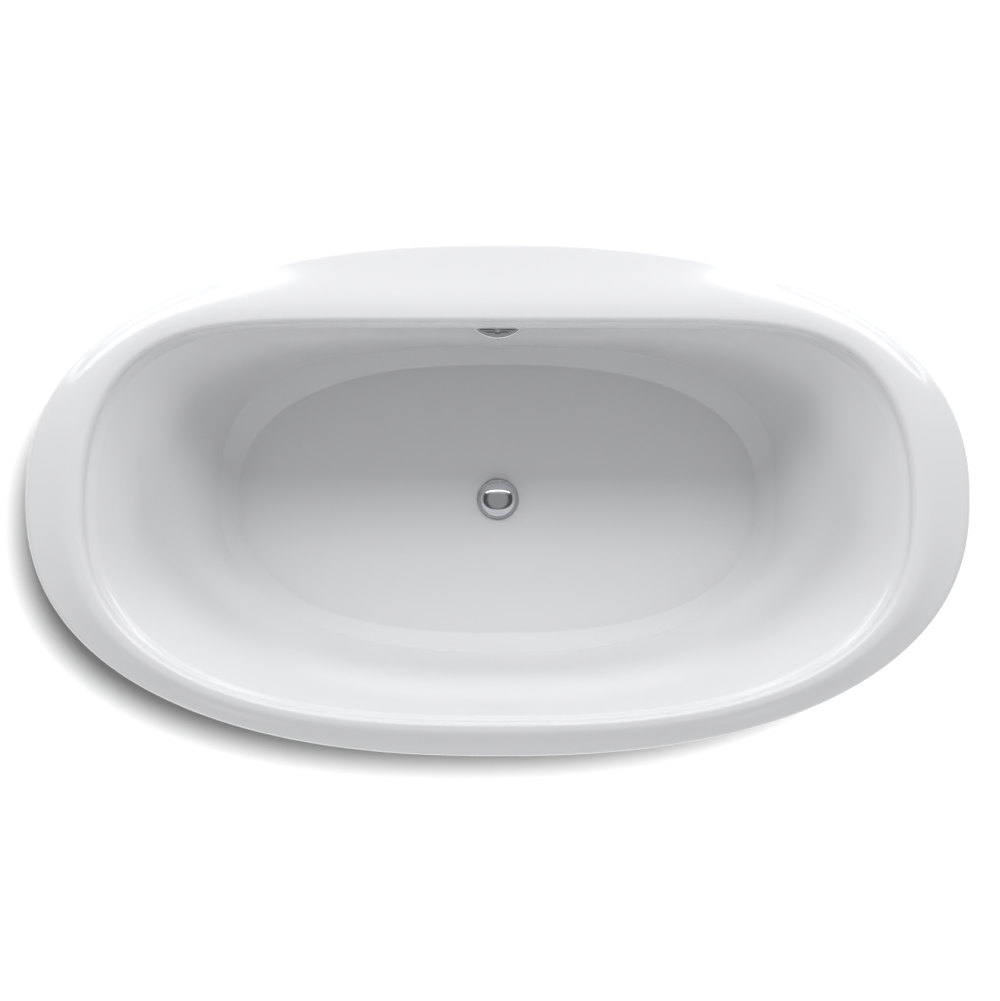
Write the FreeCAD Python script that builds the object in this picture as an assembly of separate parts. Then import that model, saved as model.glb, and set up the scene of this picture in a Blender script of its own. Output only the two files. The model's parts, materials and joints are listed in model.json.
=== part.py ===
"""A freestanding oval bathtub: a moulded bath shell with a wide back rim, a separate outer
skirt, the steel cradle it stands on with four levelling feet, and its waste and overflow.

Millimetres. The origin is on the floor under the middle of the bath. X runs along the
bath, +Y points to the back, where the wide rim and the overflow are, and Z is up.
"""
import FreeCAD
import Part
import math
import os

V = FreeCAD.Vector
UP, ALONG, ACROSS = V(0, 0, 1), V(1, 0, 0), V(0, 1, 0)

# ---- overall sizes
LENGTH = 1664.0
WIDTH = 906.0
HEIGHT = 610.0            # floor of the room to the crest of the rim

# ---- bath shell
WALL = 8.0
RIM_FALL = 18.0           # the rim slopes outwards, and its edge lies this far below the crest
LIP_DEPTH = 38.0          # the turned-down edge of the rim
LIP_DRAFT = 3.0
EDGE_RADIUS = 9.0
RIM_WIDTH = {"end": 82.0, "back": 128.0, "front": 48.0}    # edge to the start of the inner roll
ROLL_WIDTH = {"end": 22.0, "back": 13.0, "front": 13.0}    # the inner roll, in plan
LEDGE_WIDTH = {"end": 20.0, "back": 9.0, "front": 9.5}     # from the roll to the crease, in plan
CREASE_DROP = {"end": 34.0, "back": 56.0, "front": 30.0}   # crest down to the crease
FLARE = {"end": 0.38, "back": 0.30, "front": 0.38}         # how far the wall's top leans out
BASIN_FLOOR_HEIGHT = 150.0
BASIN_FLOOR_LENGTH = 950.0
BASIN_FLOOR_WIDTH = 494.0
FLOOR_FALL = 4.0          # the basin's floor falls this much to the drain
BAND_WIDTH = 33.0         # sloping band round the floor, in plan
BAND_HEIGHT = 40.0
DRY_CORNER = 2.0          # the hidden face's floor reaches this far past the floor's edge

# outlines: |x/a|^p + |y/b|^q = 1, as p and q at the back, then p and q at the front
OVAL = (2.33, 2.33, 2.33, 2.33)
ROLL_OUTLINE = (7.0, 2.0, 2.6, 2.6)
CREASE_OUTLINE = (6.4, 2.15, 2.6, 2.6)
BAND_OUTLINE = (2.9, 2.9, 2.35, 2.35)
FLOOR_OUTLINE = (2.45, 2.45, 2.45, 2.45)
ROUND = (2.0, 2.0, 2.0, 2.0)

# ---- outer skirt
SKIRT_WALL = 6.0
SKIRT_LIP_GAP = 4.0       # between the rim's lip and the skirt
SKIRT_FLOOR_GAP = 4.0     # sealed on site
SKIRT_INSET = {"end": 107.0, "back": 65.0, "front": 65.0}    # its base inside the rim's edge
SKIRT_BELLY = 14.0        # how far the side bows out of a straight taper
BEAD_WIDTH = 8.0          # adhesive bead under the rim
BEAD_HEIGHT = 14.0        # from the skirt's top edge up to the rim edge's level
BEAD_CLEARANCE = 0.25
BATTEN = 14.0             # board under the back rim
BATTEN_WIDTH = 70.0
BATTEN_LENGTH = 520.0
BATTEN_FROM_EDGE = 80.0

# ---- cradle
BOARD = 18.0
BOARD_MARGIN = 22.0
BOARD_HOLE_RADIUS = 62.0
TUBE = 30.0
TUBE_WALL = 2.0
CROSS_X = 400.0
CROSS_PAST_FOOT = 27.0    # the cross members end this far past the feet
MID_CROSS_X = 150.0
RAIL_Y = 120.0
END_ARM_GAP = 26.0        # from an end arm's plug to its bracket's tab
CAP_PLATE = 2.0           # end plugs of the tubes
CAP_PLUG = 12.0
CAP_CLEARANCE = 0.1
TAB = 30.0
TAB_THICKNESS = 3.0
TAB_X = (90.0, 290.0)
SCREW_RADIUS = 2.5
SCREW_HEAD_RADIUS = 4.6
SCREW_HEAD = 2.6
SCREW_SLOT = 1.0
SCREW_BITE = 13.0
SCREW_CLEARANCE = 0.3
BRACKET_WIDTH = 40.0
BRACKET_THICKNESS = 3.0
BRACKET_TAB = 46.0
BRACKET_HOLD = 24.0       # length welded under an end arm
BRACKET_SCREWS = (17.0, 34.0)    # levels above the tube's underside
BRACKET_PAST_BUSH = 2.0   # a side bracket starts this far past the foot's bush
BLOCK = 15.0              # bonded block between bracket and skirt
BLOCK_BLANK = 81.0        # its length before it is cut to the skirt
BLOCK_START = 5.5         # above the tube's underside

# ---- levelling feet
FOOT_Y = 228.0
STUD_RADIUS = 6.0
STUD_CLEARANCE = 0.06
STUD_CHAMFER = 1.0
STUD_HEX = 19.0
STUD_HEX_HEIGHT = 8.0
BUSH_RADIUS = 11.0
BUSH_BELOW = 6.0
PAD_RADIUS = 26.0
PAD_HEIGHT = 14.0
PAD_BASE = 0.4            # share of its height that is upright
PAD_CROWN = 0.5           # its top's radius, as a share
SOLE_INSET = 1.0
PAD_SOLE = 4.0
PAD_WEB = 2.5             # between the sole and the stud's socket
PAD_PLAY = 0.2
STUD_HEX_GAP = 4.0
STUD_BELOW_TOP = 8.0      # the stud ends this far below the cradle's top
LOCKNUT_HEIGHT = 8.0

# ---- waste
DRAIN_RECESS_RADIUS = 38.0
DRAIN_RECESS = 2.5
DRAIN_LAND = 6.0          # level ring round the recess
DRAIN_HOLE_GAP = 1.5      # round the barrel
FLANGE_RADIUS = 36.0
FLANGE_THICKNESS = 3.6
BARREL_RADIUS = 23.5
BARREL_WALL = 4.0
BARREL_LENGTH = 44.0
PIPE_RADIUS = 19.05
PIPE_WALL = 1.6
PIPE_CLEARANCE = 0.1
GASKET = 1.0
GASKET_INSET = 1.0        # how much smaller a seal is than what covers it
RUBBER_WASHER = 3.5
FIBRE_WASHER = 1.5
DRAIN_NUT = 12.0
DRAIN_NUT_INSET = 2.0     # half its width across flats, less than the flange's radius
THREAD_CLEARANCE = 0.05
CAP_RADIUS = 31.5
CAP_CROWN = 9.6
CAP_EDGE = 2.0
CAP_ROLL = 1.6            # its edge draws in this much below
STOPPER_TRAVEL = 9.0
STOP_GAP = 0.3            # left between cap and flange when the stopper is down
SEAL_RADIUS = 27.0
SEAL_WIDTH = 5.0
SEAL_THICKNESS = 2.2
SEAL_CLEARANCE = 0.5
SEAT_PLAY = 0.25
STEM_RADIUS = 3.5
STEM_CLEARANCE = 0.1
STEM_TAIL = 4.0
COLLAR = 2.0
COLLAR_RADIUS = 6.4
CARTRIDGE_RADIUS = 8.5
CARTRIDGE_WALL = 1.4
CARTRIDGE_HEIGHT = 27.0
CARTRIDGE_ABOVE = 7.0     # it stands this far above the spider
HUB_BELOW = 26.0          # flange top down to the spider
HUB_HEIGHT = 8.0
HUB_WALL = 2.5
HUB_ARM = 2.6
SPRING_WIRE = 1.0
SPRING_TURNS = 7
SPRING_STEPS = 18         # rings in each turn, and points in each ring
SPRING_SECTION = 10
PIPE_BELOW_CRADLE = 4.95  # from the rails' underside to the pipe that runs to the back
RISER_BEHIND = 44.2       # from the wetted back wall to the overflow pipe's axis
SPIGOT_STEP = 0.95        # makes the last pipe's end 40 mm across
SPIGOT_LENGTH = 17.0
SPIGOT_GAP = 1.45         # below the last slip nut
TEE_GAP = 1.0
TEE_UNDER = 6.0
TEE_FOOT = 0.5            # its wide body starts this far above the slip nut under it
TEE_NECK = 6.0            # from the wide body to the side branch's socket
BRANCH_STEP = 1.0         # the side branch's bore is this much less in radius
SOCKET_WALL = 4.5
SOCKET_DEPTH = 18.0
PIPE_PLAY = 1.0           # between a pipe's end and the bottom of its socket
ELBOW_BEND = 32.0
SLIP_NUT_WALL = 5.0
SLIP_NUT_HOLD = 9.0
SLIP_NUT_LIP = 3.0
SLIP_NUT_RIBS = 10
SLIP_NUT_RIB = 5.0
SLIP_NUT_GROOVE = 2.0     # between the ribs
SLIP_WASHER = 2.5

# ---- overflow
OVERFLOW_LEVEL = 526.0    # lip that the water runs over
SLOT_WIDTH = 68.0
SLOT_HEIGHT = 17.0
SLOT_BELOW_SILL = 14.0    # the slot starts this far below the lip
TRIM_WIDTH = 86.0
TRIM_HEIGHT = 20.0
TRIM_REACH = 17.0         # how far the trim's lip stands into the bath
TRIM_LIP = 9.0
TRIM_EDGE = 5.0
TRIM_PLATE = 3.0
TRIM_BRIDGE = 9.0         # across the pocket's middle, round the screw
BRIDGE_DEPTH = 5.0        # it stands this far off the wall
BRIDGE_BELOW = 2.0        # under the lip
TRIM_BEHIND = 3.0         # how much wider the trim is inside the wall
TRIM_SIDE = 4.0           # beside the pocket
STRAINER_RADIUS = 0.9     # bars across the pocket
STRAINER_REACH = 26.0
STRAINER_BELOW = 6.0
TRIM_SCREW_BITE = 22.0
SCREW_END_GAP = 0.5       # left at the bottom of its hole
HOUSING_BELOW = 24.0      # water lip down to the top of the overflow pipe
HOUSING_FLANGE_HALF = (46.0, 20.0)
HOUSING_CORNER = 8.0
HOUSING_PLATE = 3.0       # its flange
HOUSING_WALL = 5.0
HOUSING_BACK_WALL = 4.0
HOUSING_POST = 3.0        # material round the screw
GASKET_CRUSHED = 2.5

RING_POINTS = 72


# ================================================================== outlines and skins
def outline_scale(u, v, shape, a, b):
    """How far along (u, v) the outline with half-sizes a and b lies."""
    p, q = shape[:2] if v >= 0 else shape[2:]
    low, high = 0.0, 4.0 * max(a, b) / math.hypot(u, v)
    for _ in range(60):
        mid = (low + high) / 2
        if abs(mid * u / a) ** p + abs(mid * v / b) ** q > 1:
            high = mid
        else:
            low = mid
    return low


def ring_points(station):
    """Points round the bath for one station: end, back and front are (half-size, height)."""
    end, back, front, shape = station
    points = []
    for i in range(RING_POINTS):
        angle = 2 * math.pi * i / RING_POINTS
        u, v = LENGTH * math.cos(angle), WIDTH * math.sin(angle)
        side = back if v >= 0 else front
        scale = outline_scale(u, v, shape, end[0], side[0])
        share = min(1.0, (scale * v / side[0]) ** 2)
        points.append(V(scale * u, scale * v, end[1] + (side[1] - end[1]) * share))
    return points


def closed_curve(points):
    curve = Part.BSplineCurve()
    knots = [float(i) for i in range(len(points) + 1)]
    curve.interpolate(Points=points, PeriodicFlag=True, Parameters=knots)
    return curve


def ring_curve(station):
    return closed_curve(ring_points(station))


def skin(stations):
    """A smooth face whose control rows are the stations' rings."""
    return skin_of([ring_curve(s) for s in stations])


def row_mults(count, degree):
    """Knot multiplicities of a clamped spline through its first and last control rows."""
    return [degree + 1] + [1] * (count - degree - 1) + [degree + 1]


def skin_of(rings):
    degree = min(3, len(rings) - 1)
    spans = len(rings) - degree
    poles = [[ring.getPoles()[i] for ring in rings] for i in range(rings[0].NbPoles)]
    surface = Part.BSplineSurface()
    surface.buildFromPolesMultsKnots(
        poles, rings[0].getMultiplicities(), row_mults(len(rings), degree), rings[0].getKnots(),
        [float(i) for i in range(spans + 1)], True, False, 3, degree)
    return surface.toShape()


def flat_cap(station):
    return Part.Face(Part.Wire([ring_curve(station).toShape()]))


def closed_solid(faces):
    shell = Part.makeShell(faces)
    shell.sewShape()
    solid = Part.Solid(shell)
    if solid.Volume < 0:
        solid.reverse()
    return solid


def mixed(one, other, share):
    return tuple(x + (y - x) * share for x, y in zip(one, other))


def offset_rows(rows, distance):
    """The profile's points moved by distance to its dry side, left of its direction."""
    moved = []
    for i, (r, z) in enumerate(rows):
        r0, z0 = rows[max(0, i - 1)]
        r1, z1 = rows[min(len(rows) - 1, i + 1)]
        length = math.hypot(r1 - r0, z1 - z0)
        moved.append((r - (z1 - z0) / length * distance, z + (r1 - r0) / length * distance))
    return moved


# ================================================================== bath shell
HALF = {"end": LENGTH / 2, "back": WIDTH / 2, "front": WIDTH / 2}
FLOOR_HALF = {"end": BASIN_FLOOR_LENGTH / 2, "back": BASIN_FLOOR_WIDTH / 2,
              "front": BASIN_FLOOR_WIDTH / 2}
EDGE_Z = HEIGHT - RIM_FALL
CREASE_SIDES = {s: HALF[s] - RIM_WIDTH[s] - ROLL_WIDTH[s] - LEDGE_WIDTH[s] for s in HALF}


def rim_rows(side):
    """From the bottom of the lip up, over the rim and down to the crease, as (r, z)."""
    half, rim, roll, ledge = HALF[side], RIM_WIDTH[side], ROLL_WIDTH[side], LEDGE_WIDTH[side]
    fall = RIM_FALL / rim
    crease, crease_z = CREASE_SIDES[side], HEIGHT - CREASE_DROP[side]
    step = half - rim - roll
    return [
        (half - LIP_DRAFT, EDGE_Z - LIP_DEPTH),
        (half, EDGE_Z - LIP_DEPTH * 0.66),
        (half, EDGE_Z - LIP_DEPTH * 0.33),
        (half, EDGE_Z),
        (half - EDGE_RADIUS, EDGE_Z + fall * EDGE_RADIUS),
        (half - rim * 0.5, EDGE_Z + fall * rim * 0.5),
        (half - rim * 0.85, HEIGHT),
        (half - rim, HEIGHT),
        (step + roll * 0.3, HEIGHT),
        (step, HEIGHT - roll * 0.6),
        (step - ledge * 0.12, crease_z + (CREASE_DROP[side] - roll) * 0.4),
        (crease + ledge * 0.55, crease_z + ledge * 0.5),
        (crease, crease_z),
    ]


RIM_SHAPES = ([OVAL] * 5
              + [mixed(OVAL, ROLL_OUTLINE, share) for share in (0.5, 0.85, 1.0)]
              + [ROLL_OUTLINE] * 3 + [mixed(ROLL_OUTLINE, CREASE_OUTLINE, 0.5), CREASE_OUTLINE])


def wall_rows(side):
    """From the crease down to the top of the band round the floor."""
    top_r, top_z = CREASE_SIDES[side], HEIGHT - CREASE_DROP[side]
    low_r, low_z = FLOOR_HALF[side] + BAND_WIDTH, BASIN_FLOOR_HEIGHT + BAND_HEIGHT
    lean = FLARE[side]
    shares = [(0, 0), (lean * 0.5, 0.13), (lean, 0.29), (lean + (1 - lean) * 0.5, 0.60),
              (lean + (1 - lean) * 0.82, 0.85), (1, 1)]
    return [(top_r + (low_r - top_r) * r, top_z + (low_z - top_z) * z) for r, z in shares]


WALL_SHAPES = [mixed(CREASE_OUTLINE, BAND_OUTLINE, share)
               for share in (0, 0.13, 0.33, 0.62, 0.85, 1)]


def floor_rows(side):
    return [(FLOOR_HALF[side] + BAND_WIDTH, BASIN_FLOOR_HEIGHT + BAND_HEIGHT),
            (FLOOR_HALF[side], BASIN_FLOOR_HEIGHT)]


def drain_rows(side):
    return [(FLOOR_HALF[side], BASIN_FLOOR_HEIGHT),
            (DRAIN_RECESS_RADIUS + DRAIN_LAND, BASIN_FLOOR_HEIGHT - FLOOR_FALL)]


def stations(rows_of, shapes, distance=0.0):
    sides = [offset_rows(rows_of(s), distance) if distance else rows_of(s)
             for s in ("end", "back", "front")]
    return [(*rows, shape) for rows, shape in zip(zip(*sides), shapes)]


def dry_rows(side):
    """The hidden face: the wetted profile from the lip to the floor's edge, moved by the wall."""
    wet = rim_rows(side)[:-1] + wall_rows(side) + floor_rows(side)[1:]
    rows = offset_rows(wet, WALL)
    rows[0] = (wet[0][0] - WALL, wet[0][1])
    rows[-1] = (FLOOR_HALF[side] + DRY_CORNER, DRY_FLOOR)
    return rows


DRY_FLOOR = BASIN_FLOOR_HEIGHT - FLOOR_FALL - WALL
DRY_SHAPES = RIM_SHAPES[:-1] + WALL_SHAPES + [FLOOR_OUTLINE]
DRAIN_TOP = BASIN_FLOOR_HEIGHT - FLOOR_FALL


def bath_shell():
    rim = stations(rim_rows, RIM_SHAPES)
    wall = stations(wall_rows, WALL_SHAPES)
    band = stations(floor_rows, [BAND_OUTLINE, FLOOR_OUTLINE])
    drain = stations(drain_rows, [FLOOR_OUTLINE, ROUND])
    dry = stations(dry_rows, DRY_SHAPES)
    moulding = closed_solid([
        skin(rim), skin(wall), skin(band), skin(drain), flat_cap(drain[-1]),
        skin(dry), flat_cap(dry[-1]), skin([rim[0], dry[0]])])
    recess = disc(DRAIN_RECESS_RADIUS, FLANGE_SEAT, DRAIN_TOP + 1)
    hole = disc(DRAIN_HOLE_RADIUS, DRY_FLOOR - 1, DRAIN_TOP)
    return moulding, moulding.cut(recess).cut(hole).cut(overflow_slot())


# ================================================================== plain solids
def disc(radius, low, high, x=0.0, y=0.0):
    return Part.makeCylinder(radius, high - low, V(x, y, low))


def ring(outer, inner, low, high, x=0.0, y=0.0):
    return disc(outer, low, high, x, y).cut(disc(inner, low - 1, high + 1, x, y))


def rod(radius, start, end):
    """A round bar between two points."""
    way = V(*end) - V(*start)
    return Part.makeCylinder(radius, way.Length, V(*start), way)


def block(low, high):
    return Part.makeBox(*(h - l for l, h in zip(low, high)), V(*low))


def prism(flats, sides, low, high, x=0.0, y=0.0):
    """An upright bar with a regular outline, measured across its flats."""
    reach = flats / 2 / math.cos(math.pi / sides)
    turns = [2 * math.pi * (i + 0.5) / sides for i in range(sides + 1)]
    corners = [V(x + reach * math.cos(t), y + reach * math.sin(t), low) for t in turns]
    return Part.Face(Part.makePolygon(corners)).extrude(UP * (high - low))


def rounded_slab(half_x, half_z, radius, centre_z, near, far):
    """A slab with rounded corners, upright across Y from near to far."""
    slab = block((-half_x, near, centre_z - half_z), (half_x, far, centre_z + half_z))
    edges = [e for e in slab.Edges if abs(e.tangentAt(e.FirstParameter).y) > 0.99]
    return slab.makeFillet(radius, edges)


def square_tube(low, high, axis):
    """A square tube between two corners, hollow along the named axis."""
    inner_low = [v + (-1 if i == axis else TUBE_WALL) for i, v in enumerate(low)]
    inner_high = [v - (-1 if i == axis else TUBE_WALL) for i, v in enumerate(high)]
    return block(low, high).cut(block(inner_low, inner_high))


def group(solids):
    return Part.makeCompound(list(solids))


def four(make):
    """One piece at each of the four feet's corners."""
    return group(make(sx * CROSS_X, sy * FOOT_Y) for sx in (-1, 1) for sy in (-1, 1))


# ================================================================== outer skirt and rim bead
SKIRT_TOP = EDGE_Z - BEAD_HEIGHT
SKIRT_BASE = {side: HALF[side] - SKIRT_INSET[side] for side in HALF}
SKIRT_HEAD = {side: HALF[side] - LIP_DRAFT - WALL - SKIRT_LIP_GAP for side in HALF}


def skirt_rows(side):
    rows = []
    for i in range(5):
        t = i / 4
        straight = SKIRT_HEAD[side] + (SKIRT_BASE[side] - SKIRT_HEAD[side]) * t
        rows.append((straight + SKIRT_BELLY * 4 * t * (1 - t),
                     SKIRT_TOP + (SKIRT_FLOOR_GAP - SKIRT_TOP) * t))
    return rows


def skirt_inside_rows(side):
    outside = skirt_rows(side)
    rows = offset_rows(outside, -SKIRT_WALL)
    for end in (0, -1):
        rows[end] = (outside[end][0] - SKIRT_WALL, outside[end][1])
    return rows


def skirt():
    outside = stations(skirt_rows, [OVAL] * 5)
    inside = stations(skirt_inside_rows, [OVAL] * 5)
    rims = [skin([outside[end], inside[end]]) for end in (0, -1)]
    wall = closed_solid([skin(outside), skin(inside)] + rims)
    cavity = closed_solid([skin(inside), flat_cap(inside[0]), flat_cap(inside[-1])])
    return wall, cavity


def bead_rows(side):
    """A bead on the skirt's top edge, up to the slope of the rim's hidden face."""
    fall = RIM_FALL / RIM_WIDTH[side]
    depth = WALL * math.hypot(1, fall) + BEAD_CLEARANCE
    outer, inner = SKIRT_HEAD[side], SKIRT_HEAD[side] - BEAD_WIDTH
    tops = [EDGE_Z + fall * (HALF[side] - r) - depth for r in (outer, inner)]
    return [(outer, SKIRT_TOP), (outer, tops[0]), (inner, tops[1]), (inner, SKIRT_TOP)]


def rim_bead():
    rows = stations(bead_rows, [OVAL] * 4)
    return closed_solid([skin([rows[i], rows[(i + 1) % 4]]) for i in range(4)])


def deck_batten(moulding):
    """A board under the back rim. Its upper side lies in the rim's wall, and is cut to it."""
    fall = RIM_FALL / RIM_WIDTH["back"]
    tilt = math.degrees(math.atan(fall))
    middle = HALF["back"] - BATTEN_FROM_EDGE
    z = EDGE_Z + fall * BATTEN_FROM_EDGE - WALL / 2
    board = block((-BATTEN_LENGTH / 2, -BATTEN_WIDTH / 2, -BATTEN - WALL / 2),
                  (BATTEN_LENGTH / 2, BATTEN_WIDTH / 2, 0))
    board.rotate(V(0, 0, 0), ALONG, -tilt)
    board.translate(V(0, middle, z))
    return board.cut(moulding)


# ================================================================== cradle
CRADLE_TOP = DRY_FLOOR - BOARD
CRADLE_LOW = CRADLE_TOP - TUBE
CROSS_HALF = FOOT_Y + CROSS_PAST_FOOT
BUSH_LOW = CRADLE_LOW - BUSH_BELOW


def floor_board():
    half = (BASIN_FLOOR_LENGTH / 2 - BOARD_MARGIN, BASIN_FLOOR_WIDTH / 2 - BOARD_MARGIN)
    low, high = [((half[0], z), (half[1], z), (half[1], z), FLOOR_OUTLINE)
                 for z in (CRADLE_TOP, DRY_FLOOR)]
    board = closed_solid([skin([low, high]), flat_cap(low), flat_cap(high)])
    board = board.cut(disc(BOARD_HOLE_RADIUS, CRADLE_TOP - 1, DRY_FLOOR + 1))
    for x, y in TAB_PLACES:
        board = board.cut(disc(SCREW_RADIUS, CRADLE_TOP - 1, CRADLE_TOP + SCREW_BITE, x, y))
    return board


def cross_member(x):
    tube = square_tube((x - TUBE / 2, -CROSS_HALF, CRADLE_LOW),
                       (x + TUBE / 2, CROSS_HALF, CRADLE_TOP), 1)
    for side in (-1, 1):
        tube = tube.cut(disc(BUSH_RADIUS, CRADLE_LOW - 1, CRADLE_TOP + 1, x, side * FOOT_Y))
    return tube


def long_rail(y):
    end = CROSS_X - TUBE / 2
    return square_tube((-end, y - TUBE / 2, CRADLE_LOW), (end, y + TUBE / 2, CRADLE_TOP), 0)


def mid_member(x):
    end = RAIL_Y - TUBE / 2
    return square_tube((x - TUBE / 2, -end, CRADLE_LOW), (x + TUBE / 2, end, CRADLE_TOP), 1)


def end_arm_reach():
    return bracket_tab_reach(False) - CAP_PLATE - END_ARM_GAP


def end_arm(side):
    x = sorted((side * (CROSS_X + TUBE / 2), side * end_arm_reach()))
    return square_tube((x[0], -TUBE / 2, CRADLE_LOW), (x[1], TUBE / 2, CRADLE_TOP), 0)


def tube_cap(x, y, way):
    """A plug for the open end of a tube at (x, y) that points along way."""
    plug = TUBE - 2 * TUBE_WALL - 2 * CAP_CLEARANCE
    plate = block((0, -TUBE / 2, -TUBE / 2), (CAP_PLATE, TUBE / 2, TUBE / 2))
    body = block((-CAP_PLUG, -plug / 2, -plug / 2), (0, plug / 2, plug / 2))
    cap = plate.fuse(body).removeSplitter()
    cap.rotate(V(0, 0, 0), UP, math.degrees(math.atan2(way[1], way[0])))
    cap.translate(V(x, y, CRADLE_TOP - TUBE / 2))
    return cap


def tube_caps():
    caps = [tube_cap(sx * CROSS_X, sy * CROSS_HALF, (0, sy)) for sx in (-1, 1) for sy in (-1, 1)]
    return group(caps + [tube_cap(sx * end_arm_reach(), 0, (sx, 0)) for sx in (-1, 1)])


TAB_Y = RAIL_Y + TUBE / 2 + TAB / 2
TAB_PLACES = [(sx * x, sy * TAB_Y) for x in TAB_X for sx in (-1, 1) for sy in (-1, 1)]


def board_tab(x, y):
    low = (x - TAB / 2, y - TAB / 2, CRADLE_TOP - TAB_THICKNESS)
    tab = block(low, (x + TAB / 2, y + TAB / 2, CRADLE_TOP))
    return tab.cut(disc(SCREW_RADIUS + SCREW_CLEARANCE, low[2] - 1, CRADLE_TOP + 1, x, y))


def screw(bite, plate):
    """A pan-head screw that points up, its head under a plate whose far side is at zero."""
    shank = disc(SCREW_RADIUS, -plate, bite)
    head = disc(SCREW_HEAD_RADIUS, -plate - SCREW_HEAD, -plate)
    head = head.makeFillet(SCREW_HEAD * 0.5, [head.Edges[2]])
    slot = block((-SCREW_HEAD_RADIUS, -SCREW_SLOT / 2, -plate - SCREW_HEAD - 1),
                 (SCREW_HEAD_RADIUS, SCREW_SLOT / 2, -plate - SCREW_HEAD * 0.6))
    return shank.fuse(head).removeSplitter().cut(slot)


def board_screw(x, y):
    piece = screw(SCREW_BITE, TAB_THICKNESS)
    piece.translate(V(x, y, CRADLE_TOP))
    return piece


# ================================================================== skirt brackets
def skirt_inside_half(side, z):
    """The skirt's inner half-size at a height, without its belly."""
    share = (SKIRT_TOP - z) / (SKIRT_TOP - SKIRT_FLOOR_GAP)
    return SKIRT_HEAD[side] + (SKIRT_BASE[side] - SKIRT_HEAD[side]) * share - SKIRT_WALL


def bracket_tab_reach(along_y):
    """Where the bracket's upright face stands: a block's thickness inside the skirt."""
    a, b = (skirt_inside_half(side, CRADLE_LOW) for side in ("end", "back"))
    if along_y:
        return b * (1 - ((CROSS_X + BRACKET_WIDTH / 2) / a) ** OVAL[0]) ** (1 / OVAL[0]) - BLOCK
    return a - BLOCK


def placed(piece, x, y, way):
    piece.rotate(V(0, 0, 0), UP, math.degrees(math.atan2(way[1], way[0])))
    piece.translate(V(x, y, CRADLE_LOW))
    return piece


def bracket(x, y, way, start, reach):
    """A folded strip under a tube's end, from start to its upright tab at reach."""
    low = -BRACKET_THICKNESS
    strip = block((start, -BRACKET_WIDTH / 2, low), (reach, BRACKET_WIDTH / 2, 0))
    tab = block((reach - BRACKET_THICKNESS, -BRACKET_WIDTH / 2, low),
                (reach, BRACKET_WIDTH / 2, BRACKET_TAB))
    piece = strip.fuse(tab).removeSplitter()
    for level in BRACKET_SCREWS:
        piece = piece.cut(rod(SCREW_RADIUS + SCREW_CLEARANCE, (reach - 9, 0, level),
                              (reach + 1, 0, level)))
    return placed(piece, x, y, way)


def bracket_block(x, y, way, reach, cavity):
    """A bonded block between the bracket's tab and the skirt, cut to the skirt's curve."""
    piece = block((reach, -BRACKET_WIDTH / 2, BLOCK_START),
                  (reach + BLOCK_BLANK, BRACKET_WIDTH / 2, BRACKET_TAB))
    for level in BRACKET_SCREWS:
        piece = piece.cut(rod(SCREW_RADIUS, (reach - 1, 0, level),
                              (reach + SCREW_BITE - BRACKET_THICKNESS, 0, level)))
    return placed(piece, x, y, way).common(cavity)


def bracket_screw(x, y, way, reach, level):
    piece = screw(SCREW_BITE - BRACKET_THICKNESS, BRACKET_THICKNESS)
    piece.rotate(V(0, 0, 0), ACROSS, 90)
    piece.translate(V(reach, 0, level))
    return placed(piece, x, y, way)


def bracket_places():
    """Origin, direction, start and reach of each bracket."""
    side_reach, end_reach = bracket_tab_reach(True), bracket_tab_reach(False)
    sides = [(sx * CROSS_X, 0, (0, sy), FOOT_Y + BUSH_RADIUS + BRACKET_PAST_BUSH, side_reach)
             for sx in (-1, 1) for sy in (-1, 1)]
    ends = [(0, 0, (sx, 0), end_arm_reach() - BRACKET_HOLD, end_reach) for sx in (-1, 1)]
    return sides + ends


# ================================================================== levelling feet
STUD_TOP = CRADLE_TOP - STUD_BELOW_TOP
PAD_TOP = PAD_SOLE + PAD_HEIGHT
STUD_LOW = PAD_SOLE + PAD_WEB


def foot_bush(x, y):
    return ring(BUSH_RADIUS, STUD_RADIUS + STUD_CLEARANCE, BUSH_LOW, CRADLE_TOP, x, y)


def foot_locknut(x, y):
    nut = prism(STUD_HEX, 6, BUSH_LOW - LOCKNUT_HEIGHT, BUSH_LOW, x, y)
    return nut.cut(disc(STUD_RADIUS + STUD_CLEARANCE, 0, CRADLE_TOP, x, y))


def foot_stud(x, y):
    hexagon = prism(STUD_HEX, 6, PAD_TOP + STUD_HEX_GAP, PAD_TOP + STUD_HEX_GAP + STUD_HEX_HEIGHT,
                    x, y)
    shank = disc(STUD_RADIUS, STUD_LOW + PAD_PLAY, STUD_TOP, x, y)
    shank = shank.makeChamfer(STUD_CHAMFER, [e for e in shank.Edges if abs(e.BoundBox.ZMin - STUD_TOP) < 0.1
                                    and abs(e.BoundBox.ZMax - STUD_TOP) < 0.1])
    return shank.fuse(hexagon).removeSplitter()


def foot_pad(x, y):
    shoulder = PAD_SOLE + PAD_HEIGHT * PAD_BASE
    base = disc(PAD_RADIUS, PAD_SOLE, shoulder, x, y)
    crown = Part.makeCone(PAD_RADIUS, PAD_RADIUS * PAD_CROWN, PAD_TOP - shoulder, V(x, y, shoulder))
    pad = base.fuse(crown).removeSplitter()
    return pad.cut(disc(STUD_RADIUS + STUD_CLEARANCE, STUD_LOW, PAD_TOP + 1, x, y))


def foot_sole(x, y):
    return disc(PAD_RADIUS - SOLE_INSET, 0, PAD_SOLE, x, y)


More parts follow.
